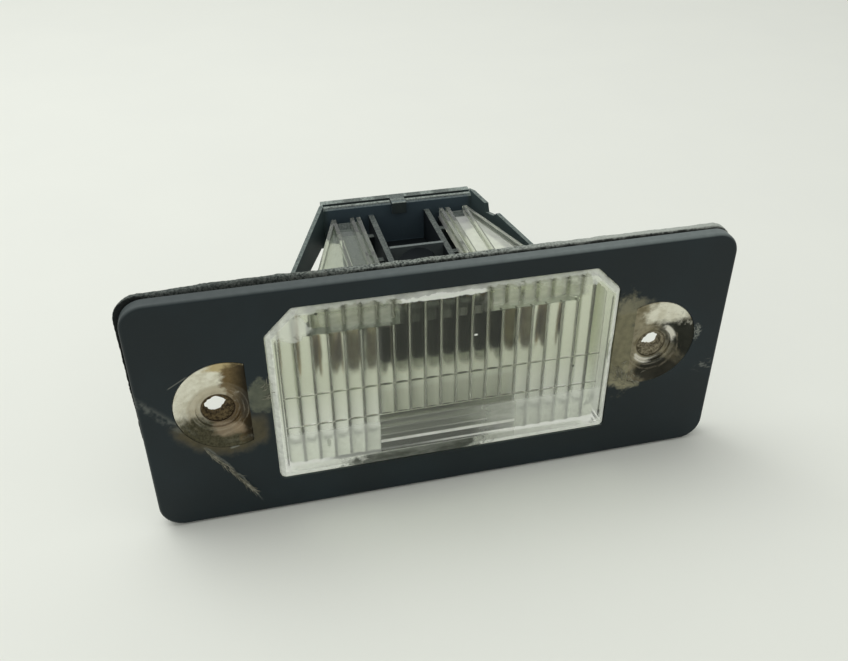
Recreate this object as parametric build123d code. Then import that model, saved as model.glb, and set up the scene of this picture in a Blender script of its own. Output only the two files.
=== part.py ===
from build123d import *
from math import hypot, sqrt
import os

# Number plate lamp. X runs along the plate, Y from the face towards the car, Z up.
# The car's panel is the plane Y = 0, and the origin is midway between the screws.

# Bezel: the black plate
plate_length = 86.0
plate_height = 37.6
plate_corner_radius = 3.5
plate_edge_round = 0.5
plate_depth = 1.8
bezel_wall = 0.8
bezel_rim = 1.4
fit_clearance = 0.1

# Lens: window, light chamber and flange
window_width = 50.4
window_top_margin = 3.1
window_bottom_margin = 5.8
window_corner_cut = 3.8
window_corner_radius = 0.8
window_proud = 0.5
window_bevel = 0.7
pane_thickness = 2.6
chamber_wall = 1.55
chamber_depth = 5.7

# Lens: flutes behind the window
flute_count = 21
prism_columns = 9
flute_rise = 0.45
flute_root = 0.2
upper_split_drop = 15.3
lower_split_drop = 20.6
split_gap = 0.18
prism_count = 5
prism_rise = 0.5

# Lens: screw ears
screw_spacing = 65.2
screw_hole_diameter = 4.6
screw_seat_diameter = 7.6
screw_seat_depth = 1.6
screw_step_diameter = 6.2
screw_step_depth = 0.4
boss_diameter = 9.6
boss_height = 1.7
dish_diameter = 14.2
dish_inward = 1.3
dish_upward = 1.6
dish_flat_side = 4.2

# Lens: snap arms
arm_gap = 13.4
arm_root_width = 13.0
arm_tip_width = 4.7
arm_top = 12.3
arm_web = 1.1
arm_rib_height = 0.9
arm_rib_width = 0.6
arm_near_rib = 1.1
arm_far_rib = 4.05
arm_tip_gap = 1.1
latch_slot_width = 2.1
latch_slot_length = 1.3
latch_slot_margin = 0.9
latch_offset = 2.9

# Gasket: foam ring, spread at one upper corner and lifted off the plate at that end
gasket_overhang = 0.1
gasket_corner_overhang = 0.85
gasket_rise = 0.25
gasket_width = 2.8
gasket_end_sink = 0.6
gasket_lift_far = 0.9
gasket_lift_peak = 1.2
gasket_swell_peak = 0.35
gasket_far_x = -31.0
gasket_peak_x = -23.0
gasket_rest_x = -12.0

# Bulb: a festoon lamp lying along X
bulb_length = 36.0
bulb_y = 9.6
bulb_z = 1.0
glass_diameter = 10.5
glass_neck_diameter = 7.2
glass_wall = 0.5
cap_diameter = 8.5
cap_wall = 0.35
cap_cylinder = 5.0
cap_cone = 3.4
cap_tip_diameter = 3.0
glass_shoulder = 1.9
filament_length = 7.0
filament_diameter = 0.6
lead_diameter = 0.5
bulb_clearance = 0.45

# Bulb carrier
carrier_wall = 1.1
rear_wall_y = 28.9
rear_wall_width = 26.4
rear_wall_top = 13.7
rear_wall_bottom = 6.7
wing_wall = 0.6
wing_end_margin = 2.2
wing_rear_top = 14.3
wing_front_top = 9.0
wing_front_bottom = 4.8
wing_rear_bottom = 8.0
nick_rear = 26.3
nick_front = 23.7
nick_bottom = 11.6
nick_slope = 0.5
rear_wall_bevel = 0.3
cross_wall_top = 8.0
cross_wall_bottom = 3.2
arm_seat_width = 1.3
rib_spacing = 9.4
rib_width = 0.9
rib_top = 11.9
shield_width = 18.7
shield_bottom = 1.2
shield_thickness = 1.0
shield_arm_gap = 0.3
arch_radius = 3.3
arch_centre = 8.6
arch_top = 12.3
arch_thickness = 0.6
socket_bottom = -0.3
socket_top = 5.5
socket_wall = 1.2
latch_shelf_depth = 4.9
latch_shelf_thickness = 1.2
latch_web_half = 10.3
latch_web_bottom = 3.5
latch_nose_height = 1.7
latch_nose_front = 0.85
latch_clearance = 0.15

# Rear cover
cover_width = 25.3
cover_height = 7.4
cover_rise = 0.15
cover_gap = 0.5
cover_thickness = 1.3
cover_tab_width = 2.4
cover_tab_thickness = 1.1
cover_hook_thickness = 0.7
cover_hook_drop = 0.8

# Contact strips
strip_thickness = 0.5
strip_width = 3.0
strip_bottom = 3.7
contact_eye_diameter = 8.4
contact_inset = 1.0
contact_hole_clearance = 0.1
pin_spacing = 4.0
pin_bottom = 1.4
pin_width = 2.5
pin_drop_width = 1.5
pin_length = 6.5
pin_slot_clearance = 0.05

# Levels that several pieces share
rim_y = -boss_height
face_y = rim_y - plate_depth
flange_y = face_y + bezel_wall
pane_y = face_y - window_proud
pane_back_y = pane_y + pane_thickness
chamber_y = rim_y + chamber_depth
seat_y = face_y + screw_seat_depth
window_top = plate_height / 2 - window_top_margin
window_bottom = window_bottom_margin - plate_height / 2
upper_split = window_top - upper_split_drop
lower_split = window_top - lower_split_drop
screw_x = screw_spacing / 2
arm_bottom = arm_top - arm_rib_height - arm_web
arm_web_top = arm_top - arm_rib_height
arm_tip_y = rear_wall_y - arm_tip_gap
arm_inner_x = arm_gap / 2
shield_y = bulb_y - glass_diameter / 2 - bulb_clearance - shield_thickness
cross_wall_y = bulb_y + glass_diameter / 2 + bulb_clearance + strip_thickness
cross_wall_half = bulb_length / 2 + wing_end_margin
rear_face_y = rear_wall_y + carrier_wall
rib_inner_x = (rib_spacing - rib_width) / 2
rib_outer_x = (rib_spacing + rib_width) / 2
shelf_z = socket_top + socket_wall
cover_top = rear_wall_top + cover_rise
contact_x = bulb_length / 2 - contact_inset
latch_slot_y = arm_tip_y - latch_slot_margin - latch_slot_length
latch_x = arm_inner_x + latch_offset


def block(x_range, y_range, z_range):
    """Rectangular solid between two values on each axis."""
    size = [high - low for low, high in (x_range, y_range, z_range)]
    corner = (x_range[0], y_range[0], z_range[0])
    return Pos(*corner) * Box(*size, align=(Align.MIN, Align.MIN, Align.MIN))


def slab(outline, front_y, back_y):
    """Solid of an outline drawn in X and Z, between two depths."""
    face = Plane(origin=(0, back_y, 0), x_dir=(1, 0, 0), z_dir=(0, -1, 0))
    return extrude(face * outline, amount=back_y - front_y)


def plan(outline, low_z, high_z):
    """Solid of an outline drawn in X and Y, between two heights."""
    return extrude(Pos(0, 0, low_z) * outline, amount=high_z - low_z)


def side_profile(outline, half_width):
    """Solid of an outline drawn in Y and Z, the same to both sides of the middle."""
    face = Plane(origin=(-half_width, 0, 0), x_dir=(0, 1, 0), z_dir=(1, 0, 0))
    return extrude(face * outline, amount=2 * half_width)


def polygon(*points):
    """Face with straight sides through the points."""
    return make_face(Polyline(*points, close=True))


def both_sides(solid):
    """The solid and its mirror image across the middle of the plate."""
    return solid + mirror(solid, about=Plane.YZ)


def plate_outline(grow):
    """Rounded rectangle of the plate, grown or shrunk all round."""
    return RectangleRounded(
        plate_length + 2 * grow, plate_height + 2 * grow, plate_corner_radius + grow
    )


def gasket_outline(grow):
    """Rounded outline of the gasket, spread at its upper left corner."""
    half = plate_length / 2 + gasket_overhang + grow
    spread = plate_length / 2 + gasket_corner_overhang + grow
    top = plate_height / 2 + gasket_rise + grow
    bottom = -plate_height / 2 - gasket_overhang - grow
    outline = polygon((-half, bottom), (half, bottom), (half, top), (-spread, top))
    return fillet(outline.vertices(), plate_corner_radius + grow)


def window_outline(grow):
    """Window with its two upper corners cut off, grown or shrunk all round."""
    half = window_width / 2 + grow
    top = window_top + grow
    bottom = window_bottom - grow
    cut = window_corner_cut + grow * (2 - sqrt(2))
    outline = polygon(
        (-half, bottom), (half, bottom), (half, top - cut),
        (half - cut, top), (cut - half, top), (-half, top - cut),
    )
    return fillet(outline.vertices(), window_corner_radius)


def dish_outline(grow):
    """Opening round the right-hand screw: a circle with a flat side towards the window."""
    centre_x = screw_x - dish_inward
    flat_x = screw_x - dish_flat_side - grow
    circle = Pos(centre_x, dish_upward) * Circle(dish_diameter / 2 + grow)
    keep = Pos(flat_x, 0) * Rectangle(
        plate_length, plate_height, align=(Align.MIN, Align.CENTER)
    )
    return circle & keep


def bezel():
    """Shallow black tray that frames the window and the two screw dishes."""
    tray = slab(plate_outline(0), face_y, rim_y)
    front_edges = tray.faces().sort_by(Axis.Y)[0].edges()
    tray = fillet(front_edges, plate_edge_round)
    tray -= slab(plate_outline(-bezel_rim), flange_y, rim_y)
    tray -= slab(window_outline(fit_clearance), face_y, flange_y)
    tray -= both_sides(slab(dish_outline(fit_clearance), face_y, flange_y))
    return tray


def flute_row(low_z, high_z, first, last):
    """Upright half-round flutes standing on the back of the pane, from one column to another."""
    half = window_width / 2 - chamber_wall
    pitch = 2 * half / flute_count
    root = pane_back_y - flute_root
    edges = []
    for column in range(first, last):
        start = -half + column * pitch
        edges.append(
            ThreePointArc(
                (start, pane_back_y),
                (start + pitch / 2, pane_back_y + flute_rise),
                (start + pitch, pane_back_y),
            )
        )
    left = -half + first * pitch
    right = -half + last * pitch
    edges.append(
        Polyline((right, pane_back_y), (right, root), (left, root), (left, pane_back_y))
    )
    return plan(make_face(edges), low_z, high_z)


def prism_panel(low_z, high_z):
    """Level saw-tooth prisms in the lower middle of the pane."""
    half = (window_width / 2 - chamber_wall) * prism_columns / flute_count
    pitch = (high_z - low_z) / prism_count
    root = pane_back_y - flute_root
    points = [(root, low_z)]
    for tooth in range(prism_count):
        points.append((pane_back_y + prism_rise, low_z + tooth * pitch))
        points.append((pane_back_y, low_z + (tooth + 1) * pitch))
    points.append((root, high_z))
    return side_profile(polygon(*points), half)


def lens_optics():
    """Three rows of flutes and the prism panel, trimmed to the inside of the light chamber."""
    low = window_bottom + chamber_wall
    high = window_top - chamber_wall
    left_columns = (flute_count - prism_columns) // 2
    right_columns = left_columns + prism_columns
    optics = flute_row(upper_split + split_gap, high, 0, flute_count)
    optics += flute_row(lower_split + split_gap, upper_split, 0, flute_count)
    optics += flute_row(low, lower_split, 0, left_columns)
    optics += flute_row(low, lower_split, right_columns, flute_count)
    optics += prism_panel(low, lower_split)
    inside = slab(window_outline(-chamber_wall), pane_y, chamber_y)
    return optics & inside


def snap_arm():
    """Right-hand tapered tongue with raised edges, two ribs along it and a latch slot near its tip."""
    inner = arm_inner_x
    root_x = inner + arm_root_width
    tip_x = inner + arm_tip_width
    start = pane_back_y
    tongue = polygon((inner, start), (root_x, start), (tip_x, arm_tip_y), (inner, arm_tip_y))
    arm = plan(tongue, arm_bottom, arm_web_top)
    for rib_x in (inner, inner + arm_near_rib, inner + arm_far_rib):
        arm += block((rib_x, rib_x + arm_rib_width), (start, arm_tip_y), (arm_bottom, arm_top))
    outer_rib = polygon(
        (root_x - arm_rib_width, start), (root_x, start),
        (tip_x, arm_tip_y), (tip_x - arm_rib_width, arm_tip_y),
    )
    arm += plan(outer_rib, arm_bottom, arm_top)
    slot_x = (latch_x - latch_slot_width / 2, latch_x + latch_slot_width / 2)
    slot_y = (latch_slot_y, latch_slot_y + latch_slot_length)
    return arm - block(slot_x, slot_y, (arm_bottom, arm_top))


def screw_ear():
    """What the flange carries round the right-hand screw: raised pad and boss behind it."""
    pad = slab(dish_outline(0), face_y, flange_y)
    boss = slab(Pos(screw_x, 0) * Circle(boss_diameter / 2), flange_y, 0)
    return pad + boss


def screw_dish():
    """What is cut from the right-hand ear: a slanting funnel to the seat, a step and the screw hole."""
    funnel = loft(
        [
            Plane(origin=(0, face_y, 0), x_dir=(1, 0, 0), z_dir=(0, -1, 0))
            * Pos(screw_x - dish_inward, dish_upward)
            * Circle(dish_diameter / 2),
            Plane(origin=(0, seat_y, 0), x_dir=(1, 0, 0), z_dir=(0, -1, 0))
            * Pos(screw_x, 0)
            * Circle(screw_seat_diameter / 2),
        ]
    )
    step = slab(Pos(screw_x, 0) * Circle(screw_step_diameter / 2), face_y, seat_y + screw_step_depth)
    hole = slab(Pos(screw_x, 0) * Circle(screw_hole_diameter / 2), face_y, 0)
    return funnel + step + hole


def lens():
    """Clear moulding: flange, window pane, light chamber, screw ears and snap arms."""
    pane = slab(window_outline(0), pane_y, pane_back_y)
    pane = chamfer(pane.faces().sort_by(Axis.Y)[0].edges(), window_bevel)
    flange = slab(plate_outline(-bezel_rim - fit_clearance), flange_y, rim_y)
    chamber = slab(window_outline(0) - window_outline(-chamber_wall), flange_y, chamber_y)
    ears = both_sides(screw_ear())
    dishes = both_sides(screw_dish())
    body = flange + pane + chamber + ears
    body -= dishes
    body += lens_optics()
    return body + both_sides(snap_arm())


def gasket():
    """Foam ring behind the plate; its front and back edges wave along X."""
    ring = gasket_outline(0) - gasket_outline(-gasket_width)
    half = plate_length / 2 + gasket_corner_overhang
    front_wave = Spline(
        (-half, rim_y),
        (gasket_far_x, rim_y + gasket_lift_far),
        (gasket_peak_x, rim_y + gasket_lift_peak),
        (gasket_rest_x, rim_y),
        tangents=[(1, 0), (1, 0)],
    )
    back_wave = Spline(
        (-half, -gasket_end_sink),
        (gasket_far_x, gasket_swell_peak),
        (gasket_peak_x, gasket_swell_peak),
        (gasket_rest_x, 0),
        tangents=[(1, 0), (1, 0)],
    )
    flats = Polyline((gasket_rest_x, rim_y), (half, rim_y), (half, 0), (gasket_rest_x, 0))
    end = Line(front_wave @ 0, back_wave @ 0)
    band = make_face([front_wave, flats, back_wave, end])
    foam = plan(band, -plate_height, plate_height)
    return foam & slab(ring, rim_y - gasket_lift_peak, gasket_lift_peak)


def carrier_frame():
    """Rear wall between two higher flared wings with sloping edges; the right wing is nicked."""
    rear_half = rear_wall_width / 2
    flare = (cross_wall_half - rear_half) / (rear_wall_y - cross_wall_y)
    skin = wing_wall * hypot(1, flare)
    back_half = rear_half - flare * carrier_wall
    outer = polygon(
        (-cross_wall_half, cross_wall_y), (cross_wall_half, cross_wall_y),
        (back_half, rear_face_y), (-back_half, rear_face_y),
    )
    inner = polygon(
        (skin - cross_wall_half, cross_wall_y), (cross_wall_half - skin, cross_wall_y),
        (rear_half - skin, rear_wall_y), (skin - rear_half, rear_wall_y),
    )
    profile = polygon(
        (cross_wall_y, wing_front_bottom),
        (rear_wall_y, wing_rear_bottom),
        (rear_wall_y, rear_wall_bottom),
        (rear_face_y, rear_wall_bottom),
        (rear_face_y, wing_rear_top),
        (rear_wall_y, wing_rear_top),
        (cross_wall_y, wing_front_top),
    )
    above = polygon(
        (rear_wall_y, rear_wall_top - rear_wall_bevel),
        (rear_wall_y + rear_wall_bevel, rear_wall_top),
        (rear_face_y, rear_wall_top),
        (rear_face_y, wing_rear_top),
        (rear_wall_y, wing_rear_top),
    )
    walls = plan(outer - inner, min(wing_front_bottom, rear_wall_bottom), wing_rear_top)
    notch_half = cover_tab_width / 2 + fit_clearance
    notch = block(
        (-notch_half, notch_half),
        (rear_wall_y, rear_face_y),
        (cover_top - cover_tab_thickness, wing_rear_top),
    )
    nick_outline = polygon(
        (nick_front, wing_rear_top), (nick_front, nick_bottom + nick_slope),
        (nick_front + nick_slope, nick_bottom), (nick_rear - nick_slope, nick_bottom),
        (nick_rear, wing_rear_top),
    )
    nick = Pos(cross_wall_half, 0, 0) * side_profile(nick_outline, rear_half)
    frame = walls & side_profile(profile, cross_wall_half)
    return frame - side_profile(above, rear_half - skin) - notch - nick


def vent_arch():
    """Thin level-topped web between the ribs, with a round-headed doorway on the socket's shelf."""
    head = ThreePointArc(
        (arch_radius, arch_centre), (0, arch_centre + arch_radius), (-arch_radius, arch_centre)
    )
    foot = Polyline(head @ 1, (-arch_radius, shelf_z), (arch_radius, shelf_z), head @ 0)
    depth = (cross_wall_y, cross_wall_y + arch_thickness)
    web = block((-rib_inner_x, rib_inner_x), depth, (shelf_z, arch_top))
    return web - slab(make_face([head, foot]), *depth)


def cross_wall():
    """Wall behind the bulb that the arms rest on, with a vent arch between the ribs."""
    depth = (cross_wall_y, cross_wall_y + carrier_wall)
    arm_seat_x = arm_inner_x + arm_seat_width
    reach = cross_wall_half - wing_wall
    wall = block((-reach, reach), depth, (cross_wall_bottom, cross_wall_top))
    wall += block((-arm_seat_x, arm_seat_x), depth, (cross_wall_bottom, arm_bottom))
    wall -= block((-rib_inner_x, rib_inner_x), depth, (shelf_z, arm_bottom))
    wall += block((-rib_outer_x, rib_outer_x), depth, (socket_bottom - socket_wall, shelf_z))
    return wall + vent_arch()


def carrier_spine():
    """Two ribs that run from the rear wall over the bulb to the glare shield, and the plug socket."""
    finger_bottom = bulb_z + glass_diameter / 2 + bulb_clearance
    socket_low = socket_bottom - socket_wall
    rib_x = (rib_inner_x, rib_outer_x)
    finger = block(rib_x, (shield_y, rear_wall_y), (finger_bottom, rib_top))
    cheek = block(rib_x, (cross_wall_y, rear_face_y), (socket_low, rear_wall_bottom))
    cheek += block(rib_x, (cross_wall_y, rear_wall_y), (rear_wall_bottom, rib_top))
    spine = both_sides(finger + cheek)
    width = (-rib_outer_x, rib_outer_x)
    depth = (cross_wall_y, rear_face_y)
    spine += block(width, depth, (socket_low, socket_bottom))
    spine += block(width, depth, (socket_top, shelf_z))
    shield_half = shield_width / 2
    spine += block(
        (-shield_half, shield_half),
        (shield_y, shield_y + shield_thickness),
        (shield_bottom, arm_bottom - shield_arm_gap),
    )
    return spine


def latch():
    """Right-hand shelf under the arm's tip with the nose that stands in its slot, and the web below it."""
    shelf_front = rear_wall_y - latch_shelf_depth
    shelf = block(
        (arm_inner_x, arm_inner_x + arm_tip_width),
        (shelf_front, rear_wall_y),
        (arm_bottom - latch_shelf_thickness, arm_bottom),
    )
    nose_half = latch_slot_width / 2 - latch_clearance
    front = latch_slot_y + latch_clearance
    back = latch_slot_y + latch_slot_length - latch_clearance
    ramp = polygon(
        (front, arm_bottom), (back, arm_bottom),
        (back, arm_bottom + latch_nose_height), (front, arm_bottom + latch_nose_front),
    )
    web = block(
        (rib_outer_x, latch_web_half),
        (shelf_front, shelf_front + carrier_wall),
        (latch_web_bottom, arm_bottom),
    )
    return shelf + web + Pos(latch_x, 0, 0) * side_profile(ramp, nose_half)


def pin_slot():
    """Slot through the cross wall for the right-hand contact pin."""
    centre = pin_spacing / 2
    half = strip_thickness / 2 + pin_slot_clearance
    return block(
        (centre - half, centre + half),
        (cross_wall_y, cross_wall_y + carrier_wall),
        (pin_bottom - pin_slot_clearance, pin_bottom + pin_width + pin_slot_clearance),
    )


def bulb_carrier():
    """Black moulding clipped between the snap arms: it holds the bulb's contacts and the plug."""
    carrier = carrier_frame() + cross_wall() + carrier_spine()
    carrier += both_sides(latch())
    return carrier - both_sides(pin_slot())


def rear_cover():
    """Plate behind the rear wall, hooked through a notch in its top edge by a narrow tab."""
    front = rear_face_y + cover_gap
    back = front + cover_thickness
    half = cover_width / 2
    tab_x = (-cover_tab_width / 2, cover_tab_width / 2)
    tab_bottom = cover_top - cover_tab_thickness
    hook_y = (rear_wall_y - cover_hook_thickness, rear_wall_y)
    cover = block((-half, half), (front, back), (cover_top - cover_height, cover_top))
    cover += block(tab_x, (hook_y[0], back), (tab_bottom, cover_top))
    return cover + block(tab_x, hook_y, (tab_bottom - cover_hook_drop, cover_top))


def cap_radius_at(x):
    """Radius of the cap's cone at a distance from the bulb's middle."""
    share = (bulb_length / 2 - x) / cap_cone
    return cap_tip_diameter / 2 + share * (cap_diameter - cap_tip_diameter) / 2


def contact():
    """Right-hand bent strip: eye round the cap's tip, foot along the cross wall, pin in the socket."""
    eye_radius = contact_eye_diameter / 2
    strip_top = strip_bottom + strip_width
    eye = Pos(bulb_y, bulb_z) * Circle(eye_radius)
    neck = polygon(
        (bulb_y, bulb_z), (bulb_y + eye_radius, bulb_z),
        (cross_wall_y, strip_bottom), (cross_wall_y, strip_top), (bulb_y, bulb_z + eye_radius),
    )
    hole = Pos(bulb_y, bulb_z) * Circle(cap_radius_at(contact_x) + contact_hole_clearance)
    face = Plane(origin=(contact_x, 0, 0), x_dir=(0, 1, 0), z_dir=(1, 0, 0))
    blade = extrude(face * (eye + neck - hole), amount=strip_thickness)
    foot_y = (cross_wall_y - strip_thickness, cross_wall_y)
    pin_x = pin_spacing / 2
    pin_sides = (pin_x - strip_thickness / 2, pin_x + strip_thickness / 2)
    foot = block((pin_sides[0], contact_x + strip_thickness), foot_y, (strip_bottom, strip_top))
    drop_x = (pin_sides[0], pin_sides[0] + pin_drop_width)
    drop = block(drop_x, foot_y, (pin_bottom, strip_top))
    pin_end = cross_wall_y + carrier_wall + pin_length
    pin = block(pin_sides, (foot_y[0], pin_end), (pin_bottom, pin_bottom + pin_width))
    return blade + foot + drop + pin


def turned(outline):
    """Solid turned about the bulb's axis from an outline drawn in X and radius."""
    return Pos(0, bulb_y, bulb_z) * revolve(outline, axis=Axis.X)


def bulb_glass():
    """Thin glass tube with sloping shoulders; its narrow necks stand inside the caps."""
    end = bulb_length / 2 - cap_cone
    shoulder = end - cap_cylinder
    body = shoulder - glass_shoulder
    outside = glass_diameter / 2
    neck = glass_neck_diameter / 2
    bore = neck - glass_wall
    outline = polygon(
        (-end, bore), (-end, neck), (-shoulder, neck), (-body, outside),
        (body, outside), (shoulder, neck), (end, neck), (end, bore),
        (body, bore), (body, outside - glass_wall),
        (-body, outside - glass_wall), (-body, bore),
    )
    return turned(outline)


def bulb_cap():
    """Right-hand metal cap: a thin cup whose conical tip, full of solder, seats in the contact's eye."""
    end = bulb_length / 2
    cone = end - cap_cone
    mouth = cone - cap_cylinder
    outside = cap_diameter / 2
    tip = cap_tip_diameter / 2
    outline = polygon(
        (mouth, outside - cap_wall), (mouth, outside), (cone, outside), (end, tip),
        (end, 0), (cone, 0), (cone, outside - cap_wall),
    )
    return turned(outline)


def bulb_lead():
    """Right-hand wire from the filament to the solder in the cap's tip."""
    start = filament_length / 2
    end = bulb_length / 2 - cap_cone
    return turned(polygon((start, 0), (end, 0), (end, lead_diameter / 2), (start, lead_diameter / 2)))


def bulb_filament():
    """Coiled tungsten wire between the leads, as one thin rod."""
    half = filament_length / 2
    radius = filament_diameter / 2
    return turned(polygon((-half, 0), (half, 0), (half, radius), (-half, radius)))


def left_hand(solid):
    """Mirror image on the other side of the lamp."""
    return mirror(solid, about=Plane.YZ)


nodes = {
    "bezel": bezel(),
    "lens": lens(),
    "gasket": gasket(),
    "bulb_carrier": bulb_carrier(),
    "rear_cover": rear_cover(),
    "contact_right": contact(),
    "contact_left": left_hand(contact()),
    "bulb_glass": bulb_glass(),
    "bulb_cap_right": bulb_cap(),
    "bulb_cap_left": left_hand(bulb_cap()),
    "bulb_lead_right": bulb_lead(),
    "bulb_lead_left": left_hand(bulb_lead()),
    "bulb_filament": bulb_filament(),
}

os.makedirs("parts", exist_ok=True)
for name, solid in nodes.items():
    export_step(solid, f"parts/{name}.step")
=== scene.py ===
import bpy
import numpy as np
from mathutils import Matrix, Vector


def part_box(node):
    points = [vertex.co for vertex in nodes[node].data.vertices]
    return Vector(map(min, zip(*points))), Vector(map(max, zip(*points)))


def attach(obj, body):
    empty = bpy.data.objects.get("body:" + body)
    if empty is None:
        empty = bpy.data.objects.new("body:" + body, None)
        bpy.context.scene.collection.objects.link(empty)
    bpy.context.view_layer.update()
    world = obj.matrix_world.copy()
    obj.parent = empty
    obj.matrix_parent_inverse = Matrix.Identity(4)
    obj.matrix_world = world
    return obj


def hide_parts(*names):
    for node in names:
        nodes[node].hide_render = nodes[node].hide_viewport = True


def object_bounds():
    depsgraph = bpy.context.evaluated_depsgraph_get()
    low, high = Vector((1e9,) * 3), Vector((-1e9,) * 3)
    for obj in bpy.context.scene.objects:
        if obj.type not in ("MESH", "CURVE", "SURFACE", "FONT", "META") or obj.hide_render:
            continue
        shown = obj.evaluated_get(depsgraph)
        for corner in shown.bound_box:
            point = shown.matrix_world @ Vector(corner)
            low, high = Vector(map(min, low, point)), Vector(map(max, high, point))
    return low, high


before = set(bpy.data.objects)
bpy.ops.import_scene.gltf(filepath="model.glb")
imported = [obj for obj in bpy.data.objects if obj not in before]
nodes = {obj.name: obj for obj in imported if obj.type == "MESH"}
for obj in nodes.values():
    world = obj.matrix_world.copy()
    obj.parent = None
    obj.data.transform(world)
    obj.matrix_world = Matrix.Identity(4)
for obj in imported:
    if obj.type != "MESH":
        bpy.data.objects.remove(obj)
cad_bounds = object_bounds()

# The plate: a shallow tray moulded in black plastic, satin from its tool.
# It frames the window and the two screw dishes and is the only face seen on the car,
# so it carries dust, a dusty thread below the left dish and scuffs at its right end.


class Value:
    """One socket of a finish; arithmetic with numbers and other sockets adds Math nodes."""

    def __init__(self, finish, socket):
        self.finish = finish
        self.socket = socket

    def maths(self, operation, *others):
        """Any Math node with this socket as its first operand."""
        operands = dict(enumerate((self, *others)))
        return self.finish.node("ShaderNodeMath", {"operation": operation}, operands)

    def __add__(self, other):
        return self.maths("ADD", other)

    def __sub__(self, other):
        return self.maths("SUBTRACT", other)

    def __rsub__(self, other):
        return self.maths("MULTIPLY_ADD", -1.0, other)

    def __mul__(self, other):
        return self.maths("MULTIPLY", other)

    def __truediv__(self, other):
        return self.maths("DIVIDE", other)

    def __pow__(self, other):
        return self.maths("POWER", other)

    def __abs__(self):
        return self.maths("ABSOLUTE")

    __radd__ = __add__
    __rmul__ = __mul__

    def rise(self, start, end):
        """0 before start, 1 after end and a smooth step between; start may be the larger."""
        ends = {"Value": self, "From Min": start, "From Max": end}
        return self.finish.node("ShaderNodeMapRange", {"interpolation_type": "SMOOTHSTEP"}, ends)

    def near(self, centre, full, none):
        """1 within full of a centre, 0 farther than none from it."""
        return abs(self - centre).rise(none, full)

    def either(self, other):
        """The larger of two masks."""
        return self.maths("MAXIMUM", other)


class Finish:
    """A material written as expressions on places in millimetres, in the lamp's own frame."""

    def __init__(self, name):
        self.material = bpy.data.materials.new(name)
        self.material.use_nodes = True
        self.tree = self.material.node_tree
        self.tree.nodes.clear()
        metres = self.node("ShaderNodeTexCoord", out="Object")
        self.place = self.node("ShaderNodeVectorMath", {"operation": "SCALE"}, {0: metres, "Scale": 1000.0})
        self.x, self.y, self.z = self.node("ShaderNodeSeparateXYZ", {}, {0: self.place}, out=(0, 1, 2))

    def node(self, kind, settings={}, sockets={}, out=0):
        """Adds a node: its settings first, then the values or links of its sockets."""
        made = self.tree.nodes.new(kind)
        for name, setting in settings.items():
            setattr(made, name, setting)
        for key, value in sockets.items():
            if isinstance(value, Value):
                self.tree.links.new(value.socket, made.inputs[key])
            else:
                made.inputs[key].default_value = value
        if isinstance(out, tuple):
            return tuple(Value(self, made.outputs[key]) for key in out)
        return Value(self, made.outputs[out])

    def stretched(self, along_x, along_y, along_z):
        """The place with each axis drawn out by a factor, for patterns that run one way."""
        factors = (1 / along_x, 1 / along_y, 1 / along_z)
        return self.node("ShaderNodeVectorMath", {"operation": "MULTIPLY"}, {0: self.place, 1: factors})

    def noise(self, size, detail=2.0, roughness=0.5, place=None):
        """Cloudy noise from 0 to 1 whose clouds are about size millimetres wide."""
        sockets = {"Vector": place or self.place, "Scale": 1 / size, "Detail": detail, "Roughness": roughness}
        return self.node("ShaderNodeTexNoise", {}, sockets)

    def patch(self, centre, reach, ragged=0.0, soft=0.5):
        """Ellipse on the plate's face, given in X and Z: 1 inside, fading out across its ragged edge."""
        across = (self.x - centre[0]) / reach[0]
        upward = (self.z - centre[1]) / reach[1]
        return (across * across + upward * upward + ragged).rise(1 + soft, 1 - soft)

    def block(self, across, upward, soft, ragged=0.0):
        """Rectangle on the plate's face, from ranges in X and Z, with soft and ragged edges."""
        x, z = self.x + ragged, self.z + ragged
        sides = x.rise(across[0] - soft, across[0] + soft) * x.rise(across[1] + soft, across[1] - soft)
        return sides * z.rise(upward[0] - soft, upward[0] + soft) * z.rise(upward[1] + soft, upward[1] - soft)

    def away(self, centre_x, centre_z):
        """Distance on the plate's face from a point and from its mirror image at the other end."""
        return ((abs(self.x) - centre_x) ** 2.0 + (self.z - centre_z) ** 2.0) ** 0.5

    def upward(self):
        """1 where the surface lies level and faces up, 0 where it stands upright."""
        normal = self.node("ShaderNodeNewGeometry", out="Normal")
        return self.node("ShaderNodeSeparateXYZ", {}, {0: normal}, out="Z").rise(0.2, 0.8)

    def mix(self, factor, first, second):
        """One colour over another."""
        return self.node("ShaderNodeMix", {"data_type": "RGBA"}, {0: factor, 6: first, 7: second}, out=2)

    def bump(self, height, depth):
        """Normal of a relief whose heights from 0 to 1 span depth millimetres."""
        return self.node("ShaderNodeBump", {}, {"Strength": 1.0, "Distance": depth / 1000, "Height": height})

    def shader(self, **sockets):
        """A Principled shader; an underscore stands for a space in its sockets' names."""
        named = {name.replace("_", " "): value for name, value in sockets.items()}
        return self.node("ShaderNodeBsdfPrincipled", {}, named)

    def blend(self, factor, first, second):
        """One shader over another."""
        return self.node("ShaderNodeMixShader", {}, {0: factor, 1: first, 2: second})

    def done(self, shader):
        """Puts the shader on the surface and returns the material."""
        self.node("ShaderNodeOutputMaterial", {}, {"Surface": shader}, out=())
        return self.material


def tone(red, green, blue):
    """A colour as it looks on a screen, from 0 to 255, as light."""
    shown = np.array([red, green, blue]) / 255
    light = np.where(shown < 0.04045, shown / 12.92, ((shown + 0.055) / 1.055) ** 2.4)
    return (*light.tolist(), 1.0)


def paint(names, material):
    """Gives CAD pieces a finish."""
    for name in names:
        nodes[name].data.materials.clear()
        nodes[name].data.materials.append(material)


plate_face_y = -3.5
dish_x, dish_z, dish_radius, dish_side = 31.3, 1.6, 7.1, 28.3


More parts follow.
